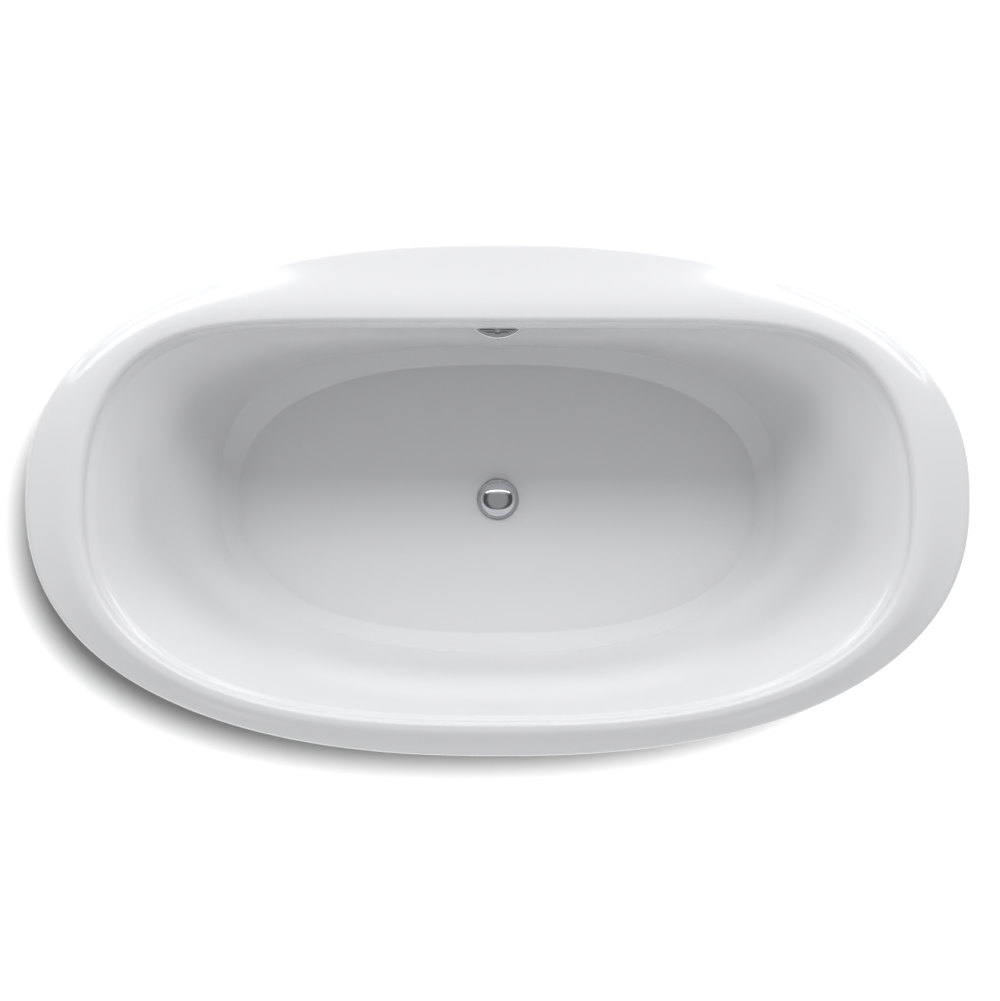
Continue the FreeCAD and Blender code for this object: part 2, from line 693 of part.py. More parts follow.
# ================================================================== waste
BARREL_BORE = BARREL_RADIUS - BARREL_WALL
DRAIN_HOLE_RADIUS = BARREL_RADIUS + DRAIN_HOLE_GAP
FLANGE_SEAT = DRAIN_TOP - DRAIN_RECESS
FLANGE_LOW = FLANGE_SEAT + GASKET
FLANGE_TOP = FLANGE_LOW + FLANGE_THICKNESS
BARREL_LOW = FLANGE_TOP - BARREL_LENGTH
DISH_FLOOR = FLANGE_TOP - SEAL_THICKNESS
CAP_LOW = FLANGE_TOP + STOPPER_TRAVEL + STOP_GAP
HUB_TOP = FLANGE_TOP - HUB_BELOW
CARTRIDGE_LOW = HUB_TOP - CARTRIDGE_HEIGHT + CARTRIDGE_ABOVE
CARTRIDGE_TOP = HUB_TOP + CARTRIDGE_ABOVE
COLLAR_TOP = CARTRIDGE_TOP - CARTRIDGE_WALL - STOP_GAP
COLLAR_LOW = COLLAR_TOP - COLLAR
SPRING_LOW = CARTRIDGE_LOW + CARTRIDGE_WALL


def drain_flange():
    """The flange with its dished seat, the threaded barrel under it and the spider inside."""
    edge = disc(FLANGE_RADIUS, FLANGE_LOW, FLANGE_TOP)
    edge = edge.makeFillet(FLANGE_THICKNESS * 0.45,
                           [e for e in edge.Edges if e.BoundBox.ZMin > FLANGE_TOP - 0.1])
    body = edge.fuse(disc(BARREL_RADIUS, BARREL_LOW, FLANGE_LOW)).removeSplitter()
    body = body.cut(disc(BARREL_BORE, BARREL_LOW - 1, FLANGE_TOP + 1))
    body = body.cut(disc(SEAL_RADIUS + SEAL_CLEARANCE, DISH_FLOOR, FLANGE_TOP + 1))
    spider = disc(CARTRIDGE_RADIUS + HUB_WALL, HUB_TOP - HUB_HEIGHT, HUB_TOP)
    for i in range(4):
        arm = block((0, -HUB_ARM / 2, HUB_TOP - HUB_HEIGHT), (BARREL_BORE + 1, HUB_ARM / 2, HUB_TOP))
        arm.rotate(V(0, 0, 0), UP, 90 * i + 45)
        spider = spider.fuse(arm)
    spider = spider.cut(disc(CARTRIDGE_RADIUS + THREAD_CLEARANCE, CARTRIDGE_LOW, CARTRIDGE_TOP))
    return body.fuse(spider).removeSplitter()


def stopper_cartridge():
    cup = disc(CARTRIDGE_RADIUS, CARTRIDGE_LOW, CARTRIDGE_TOP)
    cup = cup.cut(disc(CARTRIDGE_RADIUS - CARTRIDGE_WALL, SPRING_LOW, CARTRIDGE_TOP - CARTRIDGE_WALL))
    return cup.cut(disc(STEM_RADIUS + STEM_CLEARANCE, SPRING_LOW + 1, CARTRIDGE_TOP + 1))


def stopper_cap():
    """A round dome with a rolled edge, turned from its half profile."""
    brim = CAP_LOW + CAP_EDGE
    low, side = V(0, 0, CAP_LOW), V(CAP_RADIUS - CAP_ROLL, 0, CAP_LOW)
    edge, crown = V(CAP_RADIUS, 0, brim), V(0, 0, brim + CAP_CROWN)
    sphere = (CAP_RADIUS ** 2 + CAP_CROWN ** 2) / (2 * CAP_CROWN)
    half = math.asin(CAP_RADIUS / sphere) / 2
    mid = V(sphere * math.sin(half), 0, brim + CAP_CROWN - sphere * (1 - math.cos(half)))
    bulge = V(CAP_RADIUS - CAP_ROLL * 0.3, 0, CAP_LOW + CAP_EDGE * 0.3)
    dome, roll = Part.Arc(edge, mid, crown), Part.Arc(side, bulge, edge)
    wire = Part.Wire([Part.makeLine(low, side), roll.toShape(), dome.toShape(),
                      Part.makeLine(crown, low)])
    return Part.Face(wire).revolve(V(0, 0, 0), UP, 360)


def stopper_seal():
    return ring(SEAL_RADIUS, SEAL_RADIUS - SEAL_WIDTH, CAP_LOW - SEAL_THICKNESS + SEAT_PLAY, CAP_LOW)


def stopper_stem():
    stem = disc(STEM_RADIUS, COLLAR_LOW - STEM_TAIL, CAP_LOW)
    return stem.fuse(disc(COLLAR_RADIUS, COLLAR_LOW, COLLAR_TOP)).removeSplitter()


def stopper_spring():
    """A helix of round wire between the cartridge's floor and the stem's collar."""
    radius, wire = COLLAR_RADIUS - SPRING_WIRE / 2, SPRING_WIRE / 2
    low, height = SPRING_LOW + wire, COLLAR_LOW - SPRING_LOW - 2 * wire
    count = SPRING_TURNS * SPRING_STEPS
    turns = []
    for i in range(count + 1):
        angle = 2 * math.pi * i / SPRING_STEPS
        out = V(math.cos(angle), math.sin(angle), 0)
        centre = out * radius + UP * (low + height * i / count)
        steps = [2 * math.pi * k / SPRING_SECTION for k in range(SPRING_SECTION)]
        turns.append(closed_curve([centre + out * (wire * math.cos(t)) + UP * (wire * math.sin(t))
                                   for t in steps]))
    ends = [Part.Face(Part.Wire([turns[i].toShape()])) for i in (0, -1)]
    return closed_solid([skin_of(turns)] + ends)


def drain_locknut():
    nut = prism(2 * (FLANGE_RADIUS - DRAIN_NUT_INSET), 8, LOCKNUT_LOW, FIBRE_LOW)
    return nut.cut(disc(BARREL_RADIUS + THREAD_CLEARANCE, 0, DRY_FLOOR))


RUBBER_LOW = DRY_FLOOR - RUBBER_WASHER
FIBRE_LOW = RUBBER_LOW - FIBRE_WASHER
LOCKNUT_LOW = FIBRE_LOW - DRAIN_NUT
TEE_TOP = LOCKNUT_LOW - TEE_GAP
TEE_LEDGE = BARREL_LOW - TEE_GAP
PIPE_LEVEL = CRADLE_LOW - PIPE_BELOW_CRADLE - PIPE_RADIUS
TEE_LOW = PIPE_LEVEL - PIPE_RADIUS - TEE_UNDER
SOCKET_BORE = PIPE_RADIUS + PIPE_CLEARANCE
SOCKET_RADIUS = PIPE_RADIUS + SOCKET_WALL
SLIP_NUT_RADIUS = SOCKET_RADIUS + SLIP_NUT_WALL
INNER_BORE = PIPE_RADIUS - PIPE_WALL
TEE_SIDE = BARREL_RADIUS + SOCKET_WALL + TEE_NECK + SOCKET_DEPTH


def waste_tee():
    low, side = TEE_LOW - SOCKET_DEPTH / 2, (0, TEE_SIDE, PIPE_LEVEL)
    body = disc(BARREL_RADIUS + SOCKET_WALL, TEE_LOW + TEE_FOOT, TEE_TOP)
    body = body.fuse([disc(SOCKET_RADIUS, low, PIPE_LEVEL), rod(SOCKET_RADIUS, (0, 0, PIPE_LEVEL), side)])
    hollow = disc(BARREL_RADIUS + THREAD_CLEARANCE, TEE_LEDGE, TEE_TOP + 1)
    hollow = hollow.fuse([
        disc(INNER_BORE, low - 1, TEE_TOP), disc(SOCKET_BORE, low - 1, low + SOCKET_DEPTH),
        rod(INNER_BORE - BRANCH_STEP, (0, 0, PIPE_LEVEL), side),
        rod(SOCKET_BORE, (0, TEE_SIDE - SOCKET_DEPTH, PIPE_LEVEL), (0, TEE_SIDE + 1, PIPE_LEVEL))])
    return body.cut(hollow).removeSplitter()


def pipe(start, end):
    return rod(PIPE_RADIUS, start, end).cut(rod(INNER_BORE, start, end))


SLOT_MIDDLE = OVERFLOW_LEVEL + SLOT_HEIGHT / 2 - SLOT_BELOW_SILL


def wall_at(z):
    """The wetted back wall's distance from the middle of the bath at a height."""
    rows = wall_rows("back")
    curve = Part.BSplineCurve()
    knots = [float(i) for i in range(len(rows) - 2)]
    curve.buildFromPolesMultsKnots([V(0, r, height) for r, height in rows],
                                   row_mults(len(rows), 3), knots, False, 3)
    low, high = knots[0], knots[-1]
    for _ in range(40):
        mid = (low + high) / 2
        if curve.value(mid).z > z:
            low = mid
        else:
            high = mid
    return curve.value(low).y


TEE_BOTTOM = TEE_LOW - SOCKET_DEPTH / 2
SPIGOT_TOP = TEE_BOTTOM - SLIP_WASHER - SLIP_NUT_LIP - SPIGOT_GAP
TAILPIECE_END = SPIGOT_TOP - SPIGOT_LENGTH
RISER_Y = wall_at(SLOT_MIDDLE) + RISER_BEHIND
ELBOW_NEAR = RISER_Y - ELBOW_BEND - SOCKET_DEPTH
ELBOW_HIGH = PIPE_LEVEL + ELBOW_BEND + SOCKET_DEPTH
HOUSING_SPIGOT_LOW = OVERFLOW_LEVEL - HOUSING_BELOW - SOCKET_DEPTH


def tailpiece():
    """The last pipe, with a wider spigot at its end for the house's waste pipe."""
    stem = pipe((0, 0, TAILPIECE_END), (0, 0, TEE_BOTTOM + SOCKET_DEPTH - PIPE_PLAY))
    spigot = ring(PIPE_RADIUS + SPIGOT_STEP, INNER_BORE, TAILPIECE_END, SPIGOT_TOP)
    return stem.fuse(spigot).removeSplitter()


def cross_pipe():
    return pipe((0, TEE_SIDE - SOCKET_DEPTH + PIPE_PLAY, PIPE_LEVEL),
                (0, ELBOW_NEAR + SOCKET_DEPTH - PIPE_PLAY, PIPE_LEVEL))


def riser_pipe():
    return pipe((0, RISER_Y, ELBOW_HIGH - SOCKET_DEPTH + PIPE_PLAY),
                (0, RISER_Y, HOUSING_SPIGOT_LOW + SOCKET_DEPTH - PIPE_PLAY))


def bend(radius):
    """A quarter turn from the level pipe up into the riser."""
    start, end = V(0, RISER_Y - ELBOW_BEND, PIPE_LEVEL), V(0, RISER_Y, PIPE_LEVEL + ELBOW_BEND)
    centre = V(0, RISER_Y - ELBOW_BEND, PIPE_LEVEL + ELBOW_BEND)
    half = math.sqrt(0.5) * ELBOW_BEND
    arc = Part.Arc(start, centre + V(0, half, -half), end).toShape()
    profile = Part.Wire(Part.makeCircle(radius, start, ACROSS))
    return Part.Wire([arc]).makePipeShell([profile], True, False)


def waste_elbow():
    near, high = (0, ELBOW_NEAR, PIPE_LEVEL), (0, RISER_Y, ELBOW_HIGH)
    near_end, high_start = (0, RISER_Y - ELBOW_BEND, PIPE_LEVEL), (0, RISER_Y, PIPE_LEVEL + ELBOW_BEND)
    outside = bend(SOCKET_RADIUS).fuse([rod(SOCKET_RADIUS, near, near_end),
                                        rod(SOCKET_RADIUS, high_start, high)])
    inside = bend(INNER_BORE).fuse([
        rod(SOCKET_BORE, (0, ELBOW_NEAR - 1, PIPE_LEVEL), near_end),
        rod(SOCKET_BORE, high_start, (0, RISER_Y, ELBOW_HIGH + 1))])
    return outside.cut(inside).removeSplitter()


def slip_nut(face, way):
    """A ribbed nut that closes a socket's mouth at face. The pipe leaves along way."""
    body = disc(SLIP_NUT_RADIUS - SLIP_NUT_GROOVE, -SLIP_NUT_HOLD, SLIP_WASHER + SLIP_NUT_LIP)
    for i in range(SLIP_NUT_RIBS):
        rib = block((0, -SLIP_NUT_RIB / 2, -SLIP_NUT_HOLD),
                    (SLIP_NUT_RADIUS, SLIP_NUT_RIB / 2, SLIP_WASHER + SLIP_NUT_LIP))
        rib.rotate(V(0, 0, 0), UP, 360 / SLIP_NUT_RIBS * i)
        body = body.fuse(rib)
    body = body.cut(disc(SOCKET_RADIUS + THREAD_CLEARANCE, -SLIP_NUT_HOLD - 1, SLIP_WASHER))
    body = body.cut(disc(SOCKET_BORE, 0, SLIP_WASHER + SLIP_NUT_LIP + 1))
    return turned(body.removeSplitter(), face, way)


def slip_washer(face, way):
    washer = ring(SOCKET_RADIUS - GASKET_INSET, PIPE_RADIUS + THREAD_CLEARANCE, 0, SLIP_WASHER)
    return turned(washer, face, way)


def turned(piece, face, way):
    piece.Placement = FreeCAD.Placement(V(*face), FreeCAD.Rotation(UP, V(*way)))
    return piece


SOCKET_MOUTHS = [((0, 0, TEE_BOTTOM), (0, 0, -1)), ((0, TEE_SIDE, PIPE_LEVEL), (0, 1, 0)),
                 ((0, ELBOW_NEAR, PIPE_LEVEL), (0, -1, 0)), ((0, RISER_Y, ELBOW_HIGH), (0, 0, 1)),
                 ((0, RISER_Y, HOUSING_SPIGOT_LOW), (0, 0, -1))]


# ================================================================== overflow
def overflow_slot():
    back = wall_at(SLOT_MIDDLE)
    return rounded_slab(SLOT_WIDTH / 2, SLOT_HEIGHT / 2, SLOT_HEIGHT / 2 - 0.5, SLOT_MIDDLE,
                        back - 2 * WALL, back + 3 * WALL)


def crescent(half, reach, low, high, face):
    """A segment that stands out of the wall's line at face, half wide to each side."""
    radius = (half ** 2 + reach ** 2) / (2 * reach)
    circle = Part.makeCylinder(radius, high - low, V(0, face + radius - reach, low))
    return circle.common(block((-half, face - reach - 1, low - 1), (half, face, high + 1)))


def overflow_trim(moulding):
    """A scoop on the back wall, open at the top, with a pocket that leads to the slot."""
    low, high = OVERFLOW_LEVEL - TRIM_HEIGHT, OVERFLOW_LEVEL
    level = high - STRAINER_BELOW
    face = wall_at(SLOT_MIDDLE) + WALL / 2
    reach = TRIM_REACH + WALL / 2
    body = crescent(TRIM_WIDTH / 2 + TRIM_BEHIND, reach, low, high, face)
    lip = [e for e in body.Edges if e.BoundBox.ZMin > high - 0.1 and e.BoundBox.YMin < face - 5]
    body = body.makeFillet(TRIM_EDGE, lip)
    pocket = crescent(TRIM_WIDTH / 2 - TRIM_SIDE, reach - TRIM_LIP, low + TRIM_PLATE, high + 1, face)
    body = body.cut(pocket)
    front = wall_at(SLOT_MIDDLE) - BRIDGE_DEPTH
    bridge = block((-TRIM_BRIDGE / 2, front, low), (TRIM_BRIDGE / 2, face, high - BRIDGE_BELOW))
    body = body.fuse(bridge).removeSplitter()
    strainer = [rod(STRAINER_RADIUS, (sx * (TRIM_BRIDGE / 2 - 1), front + STRAINER_RADIUS, level),
                    (sx * STRAINER_REACH, front + STRAINER_RADIUS, level)) for sx in (-1, 1)]
    body = body.fuse(strainer).removeSplitter()
    hole = rod(SCREW_RADIUS + SCREW_CLEARANCE, (0, face - reach - 1, SLOT_MIDDLE),
               (0, face + 1, SLOT_MIDDLE))
    return body.cut(moulding).cut(hole)


HOUSING_FACE = wall_at(SLOT_MIDDLE + HOUSING_FLANGE_HALF[1]) + WALL + GASKET_CRUSHED
HOUSING_BACK = RISER_Y + SOCKET_RADIUS


def overflow_gasket(moulding):
    half_x, half_z = HOUSING_FLANGE_HALF
    slab = rounded_slab(half_x, half_z, HOUSING_CORNER, SLOT_MIDDLE,
                        wall_at(SLOT_MIDDLE) + WALL / 2, HOUSING_FACE)
    return slab.cut(moulding).cut(overflow_slot())


def overflow_housing():
    half_x, half_z = HOUSING_FLANGE_HALF
    flange = rounded_slab(half_x, half_z, HOUSING_CORNER, SLOT_MIDDLE,
                          HOUSING_FACE, HOUSING_FACE + HOUSING_PLATE)
    box = rounded_slab(SLOT_WIDTH / 2 + HOUSING_WALL, SLOT_HEIGHT / 2 + HOUSING_WALL,
                       HOUSING_CORNER, SLOT_MIDDLE, HOUSING_FACE + 1, HOUSING_BACK)
    spigot = disc(SOCKET_RADIUS, HOUSING_SPIGOT_LOW, SLOT_MIDDLE, 0, RISER_Y)
    body = flange.fuse([box, spigot])
    room = rounded_slab(SLOT_WIDTH / 2, SLOT_HEIGHT / 2, SLOT_HEIGHT / 2 - 0.5, SLOT_MIDDLE,
                        HOUSING_FACE - 1, HOUSING_BACK - HOUSING_BACK_WALL)
    bore = disc(INNER_BORE, HOUSING_SPIGOT_LOW, SLOT_MIDDLE, 0, RISER_Y)
    socket = disc(SOCKET_BORE, HOUSING_SPIGOT_LOW - 1, HOUSING_SPIGOT_LOW + SOCKET_DEPTH, 0, RISER_Y)
    body = body.cut(room).cut(bore).cut(socket)
    post = rod(SCREW_RADIUS + HOUSING_POST, (0, HOUSING_FACE + 1, SLOT_MIDDLE),
               (0, HOUSING_BACK - HOUSING_BACK_WALL / 2, SLOT_MIDDLE))
    body = body.fuse(post).removeSplitter()
    return body.cut(rod(SCREW_RADIUS + THREAD_CLEARANCE, (0, HOUSING_FACE - 1, SLOT_MIDDLE),
                        (0, HOUSING_FACE + TRIM_SCREW_BITE, SLOT_MIDDLE)))


def trim_screw():
    head_face = wall_at(SLOT_MIDDLE) - BRIDGE_DEPTH
    length = HOUSING_FACE + TRIM_SCREW_BITE - head_face - SCREW_END_GAP
    piece = screw(length, 0)
    piece.rotate(V(0, 0, 0), ALONG, -90)
    piece.translate(V(0, head_face, SLOT_MIDDLE))
    return piece


# ================================================================== all pieces
CORNERS = [("front_left", -1, -1), ("front_right", 1, -1), ("back_left", -1, 1),
           ("back_right", 1, 1)]


def build():
    moulding, tub = bath_shell()
    skirt_wall, cavity = skirt()
    places = bracket_places()
    parts = {
        "bath_shell": tub,
        "outer_skirt": skirt_wall,
        "rim_bead": rim_bead(),
        "deck_batten": deck_batten(moulding),
        "floor_board": floor_board(),
        "cross_member_left": cross_member(-CROSS_X),
        "cross_member_right": cross_member(CROSS_X),
        "long_rail_front": long_rail(-RAIL_Y),
        "long_rail_back": long_rail(RAIL_Y),
        "mid_member_left": mid_member(-MID_CROSS_X),
        "mid_member_right": mid_member(MID_CROSS_X),
        "end_arm_left": end_arm(-1),
        "end_arm_right": end_arm(1),
        "tube_caps": tube_caps(),
        "board_tabs": group(board_tab(x, y) for x, y in TAB_PLACES),
        "board_screws": group(board_screw(x, y) for x, y in TAB_PLACES),
        "skirt_brackets": group(bracket(*place) for place in places),
        "skirt_blocks": group(bracket_block(x, y, way, reach, cavity)
                              for x, y, way, _, reach in places),
        "bracket_screws": group(bracket_screw(x, y, way, reach, level)
                                for x, y, way, _, reach in places for level in BRACKET_SCREWS),
        "foot_bushes": four(foot_bush),
        "foot_locknuts": four(foot_locknut),
        "drain_flange": drain_flange(),
        "flange_gasket": ring(FLANGE_RADIUS - GASKET_INSET, DRAIN_HOLE_RADIUS, FLANGE_SEAT, FLANGE_LOW),
        "rubber_washer": ring(FLANGE_RADIUS, DRAIN_HOLE_RADIUS, RUBBER_LOW, DRY_FLOOR),
        "fibre_washer": ring(FLANGE_RADIUS, DRAIN_HOLE_RADIUS, FIBRE_LOW, RUBBER_LOW),
        "drain_locknut": drain_locknut(),
        "stopper_cap": stopper_cap(),
        "stopper_seal": stopper_seal(),
        "stopper_stem": stopper_stem(),
        "stopper_spring": stopper_spring(),
        "stopper_cartridge": stopper_cartridge(),
        "waste_tee": waste_tee(),
        "tailpiece": tailpiece(),
        "cross_pipe": cross_pipe(),
        "waste_elbow": waste_elbow(),
        "riser_pipe": riser_pipe(),
        "slip_nuts": group(slip_nut(*mouth) for mouth in SOCKET_MOUTHS),
        "slip_washers": group(slip_washer(*mouth) for mouth in SOCKET_MOUTHS),
        "overflow_trim": overflow_trim(moulding),
        "overflow_gasket": overflow_gasket(moulding),
        "overflow_housing": overflow_housing(),
        "trim_screw": trim_screw(),
    }
    for name, sx, sy in CORNERS:
        place = (sx * CROSS_X, sy * FOOT_Y)
        parts[f"foot_stud_{name}"] = foot_stud(*place)
        parts[f"foot_pad_{name}"] = foot_pad(*place)
        parts[f"foot_sole_{name}"] = foot_sole(*place)
    return parts


os.makedirs("parts", exist_ok=True)
for node, shape in build().items():
    good = shape.isValid() and all(solid.Volume > 0 for solid in shape.Solids)
    print(node, len(shape.Solids), "solids", "sound" if good else "BAD")
    shape.exportStep(f"parts/{node}.step")
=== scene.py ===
"""The looks of a freestanding oval bathtub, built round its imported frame. Lengths are in metres.

The bath shell and the outer skirt are smooth meshes of the frame's own shapes. Round each of
them run rings that meet |x/a|^p + |y/b|^q = 1, and a cubic spline runs through the rings'
control rows from the lip to the drain.
"""
import json
import math

import bpy
import numpy as np
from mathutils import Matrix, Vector


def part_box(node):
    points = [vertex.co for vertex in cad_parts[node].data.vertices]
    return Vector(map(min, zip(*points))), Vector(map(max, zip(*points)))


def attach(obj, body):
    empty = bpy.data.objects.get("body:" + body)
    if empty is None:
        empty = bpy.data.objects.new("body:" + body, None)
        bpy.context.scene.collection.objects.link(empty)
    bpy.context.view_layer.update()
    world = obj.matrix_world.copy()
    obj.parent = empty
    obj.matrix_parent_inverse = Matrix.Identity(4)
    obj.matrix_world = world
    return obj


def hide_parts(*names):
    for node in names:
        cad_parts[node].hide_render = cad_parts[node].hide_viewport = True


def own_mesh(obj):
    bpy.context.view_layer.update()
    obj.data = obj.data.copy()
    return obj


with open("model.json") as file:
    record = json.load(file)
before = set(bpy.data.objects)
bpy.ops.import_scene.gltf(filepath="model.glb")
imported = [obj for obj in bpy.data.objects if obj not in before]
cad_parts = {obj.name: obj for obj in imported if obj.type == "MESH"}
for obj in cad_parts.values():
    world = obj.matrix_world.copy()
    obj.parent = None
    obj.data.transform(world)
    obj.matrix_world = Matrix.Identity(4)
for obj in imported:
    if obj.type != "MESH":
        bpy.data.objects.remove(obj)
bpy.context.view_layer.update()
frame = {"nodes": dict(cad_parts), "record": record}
scene = bpy.context.scene

# ---- the frame's sizes
shell_low, shell_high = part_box("bath_shell")
HALF_LENGTH, HALF_WIDTH, CREST = shell_high.x, shell_high.y, shell_high.z
DRY_FLOOR = shell_low.z
skirt_low, skirt_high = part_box("outer_skirt")

# ---- the shell's profile: at the ends, the back and the front
SIDES = ("end", "back", "front")
HALF = {"end": HALF_LENGTH, "back": HALF_WIDTH, "front": HALF_WIDTH}
RIM_WIDTH = {"end": 0.082, "back": 0.128, "front": 0.048}
ROLL_WIDTH = {"end": 0.022, "back": 0.013, "front": 0.013}
LEDGE_WIDTH = {"end": 0.020, "back": 0.009, "front": 0.0095}
CREASE_DROP = {"end": 0.034, "back": 0.056, "front": 0.030}
FLARE = {"end": 0.38, "back": 0.30, "front": 0.38}
FLOOR_HALF = {"end": 0.475, "back": 0.247, "front": 0.247}
WALL = 0.008
RIM_FALL = 0.018
LIP_DEPTH = 0.038
LIP_DRAFT = 0.003
EDGE_RADIUS = 0.009
FLOOR_FALL = 0.004
BAND_WIDTH = 0.033
BAND_HEIGHT = 0.040
DRAIN_RECESS = 0.0025
RECESS_RADIUS = 0.038
DRAIN_LAND = 0.006
HOLE_RADIUS = 0.025
HOLE_LAND = 0.004         # flat ring round the hole, above and below
SEAT_ROUND = 0.0003       # where the recess's side meets its seat
FLOOR_CORNER = 0.002      # how far the dry floor reaches past the wetted one
# rings over the recess's edge: out from the recess's radius, and up from the floor at the drain
RECESS_EDGE = ((DRAIN_LAND, 0.0), (0.003, 0.0), (0.0008, 0.0), (0.0002, -0.0003), (0.0, -0.001))
EDGE_Z = CREST - RIM_FALL
DRAIN_Z = DRY_FLOOR + WALL
FLOOR_Z = DRAIN_Z + FLOOR_FALL

OVAL = (2.33, 2.33, 2.33, 2.33)
ROLL_OUTLINE = (7.0, 2.0, 2.6, 2.6)
CREASE_OUTLINE = (6.4, 2.15, 2.6, 2.6)
BAND_OUTLINE = (2.9, 2.9, 2.35, 2.35)
FLOOR_OUTLINE = (2.45, 2.45, 2.45, 2.45)
ROUND = (2.0, 2.0, 2.0, 2.0)

SKIRT_WALL = 0.006
SKIRT_EDGE_ROUND = 0.0012
SKIRT_INSET = {"end": 0.107, "back": 0.065, "front": 0.065}
SKIRT_BELLY = 0.014
SKIRT_LIP_GAP = 0.004
SKIRT_ROWS = 5

SLOT_WIDTH, SLOT_HEIGHT, SLOT_MIDDLE = 0.068, 0.017, 0.5205
SLOT_DEPTHS = (0.290, 0.320)      # y on either side of the back wall
SLOT_STEPS = 12                   # in each of its round ends

RING = 480                # points round the bath
RIM_STEPS, WALL_STEPS, BAND_STEPS, BASIN_STEPS, DRY_STEPS = 70, 40, 8, 30, 60
SKIRT_OUTSIDE_STEPS, SKIRT_INSIDE_STEPS = 36, 12
CREASE_STEPS = 4
CREASE_REACH = 0.8        # the most of the way to its neighbour that a crease's ring goes
HALVINGS = 50             # when a point's place on its outline is looked for
CREASE_ROUND = 0.0022     # how far the moulding's creases are rounded back


# ================================================================== outlines and rows
def outline_scale(u, v, shape, a, b):
    """How far along each (u, v) the outline with half-sizes a and b lies."""
    p = np.where(v >= 0, shape[0], shape[2])
    q = np.where(v >= 0, shape[1], shape[3])
    low = np.zeros_like(u)
    high = 4 * np.maximum(a, b) / np.hypot(u, v)
    for _ in range(HALVINGS):
        mid = (low + high) / 2
        outside = np.abs(mid * u / a) ** p + np.abs(mid * v / b) ** q > 1
        high = np.where(outside, mid, high)
        low = np.where(outside, low, mid)
    return low


ANGLES = np.arange(RING) * (2 * math.pi / RING)
AROUND_U, AROUND_V = HALF_LENGTH * np.cos(ANGLES), HALF_WIDTH * np.sin(ANGLES)


def ring_points(end, back, front, shape):
    """One ring. end, back and front are (half-size, height)."""
    b = np.where(AROUND_V >= 0, back[0], front[0])
    scale = outline_scale(AROUND_U, AROUND_V, shape, end[0], b)
    side_z = np.where(AROUND_V >= 0, back[1], front[1])
    share = np.minimum(1.0, (scale * AROUND_V / b) ** 2)
    z = end[1] + (side_z - end[1]) * share
    return np.stack([scale * AROUND_U, scale * AROUND_V, z], axis=1)


def spline_weights(count, degree, t):
    """Weights of a clamped uniform spline's control rows at parameter t, from 0 to 1."""
    spans = count - degree
    knots = [0.0] * degree + [float(i) for i in range(spans + 1)] + [float(spans)] * degree
    x = min(t * spans, spans - 1e-9)
    weights = [1.0 if knots[i] <= x < knots[i + 1] else 0.0 for i in range(len(knots) - 1)]
    for d in range(1, degree + 1):
        for i in range(len(knots) - 1 - d):
            left = knots[i + d] - knots[i]
            right = knots[i + d + 1] - knots[i + 1]
            value = (x - knots[i]) / left * weights[i] if left else 0.0
            value += (knots[i + d + 1] - x) / right * weights[i + 1] if right else 0.0
            weights[i] = value
    return np.array(weights[:count])


def spline_rows(rows_of, shapes, steps):
    """Rings along the spline whose control rows are rows_of's, with steps between them."""
    sides = [rows_of(side) for side in SIDES]
    control = np.array([ring_points(*rows, shape) for rows, shape in zip(zip(*sides), shapes)])
    degree = min(3, len(control) - 1)
    return [np.tensordot(spline_weights(len(control), degree, i / steps), control, axes=1)
            for i in range(steps + 1)]


def mixed(one, other, share):
    """An outline's powers, that share of the way from one's to other's."""
    return tuple(x + (y - x) * share for x, y in zip(one, other))


def offset_rows(rows, distance):
    """The rows moved square to their own line."""
    moved = []
    for i, (r, z) in enumerate(rows):
        r0, z0 = rows[max(0, i - 1)]
        r1, z1 = rows[min(len(rows) - 1, i + 1)]
        length = math.hypot(r1 - r0, z1 - z0)
        moved.append((r - (z1 - z0) / length * distance, z + (r1 - r0) / length * distance))
    return moved


def crease(before, corner, after, reach):
    """Rings that round a corner ring, between the rings before and after it."""
    def step_to(other, distance):
        way = other - corner
        length = np.linalg.norm(way, axis=1, keepdims=True)
        return corner + way / length * np.minimum(distance, length * CREASE_REACH)

    start, end = step_to(before, reach), step_to(after, reach)
    rings = [step_to(before, reach * 2)]
    for i in range(CREASE_STEPS + 1):
        t = i / CREASE_STEPS
        rings.append(start * (1 - t) ** 2 + corner * (2 * t * (1 - t)) + end * t ** 2)
    return rings + [step_to(after, reach * 2)]


def joined(zones, reach=CREASE_ROUND):
    """One run of rings from several zones, with a rounded crease wherever two meet."""
    rings = list(zones[0][:-1])
    for i in range(1, len(zones)):
        rings += crease(rings[-1], zones[i][0], zones[i][1], reach)
        rings += zones[i][1:-1]
    return rings + [zones[-1][-1]]


# ================================================================== meshes
def mesh_object(name, vertices, faces, material):
    """A smooth-shaded mesh in the scene."""
    mesh = bpy.data.meshes.new(name)
    mesh.from_pydata([tuple(v) for v in vertices], [], faces)
    mesh.validate()
    mesh.polygons.foreach_set("use_smooth", [True] * len(mesh.polygons))
    mesh.materials.append(material)
    mesh.update()
    piece = bpy.data.objects.new(name, mesh)
    scene.collection.objects.link(piece)
    return piece


def tube_of_rings(name, rings, material, closed=True):
    """A skin over the rings, joined last to first where it is closed and capped where not."""
    count = len(rings[0])
    pairs = len(rings) if closed else len(rings) - 1
    faces = []
    for i in range(pairs):
        a, b = i * count, (i + 1) % len(rings) * count
        faces += [(a + k, b + k, b + (k + 1) % count, a + (k + 1) % count) for k in range(count)]
    if not closed:
        last = (len(rings) - 1) * count
        faces += [tuple(range(count)), tuple(range(last + count - 1, last - 1, -1))]
    return mesh_object(name, np.concatenate(rings), faces, material)


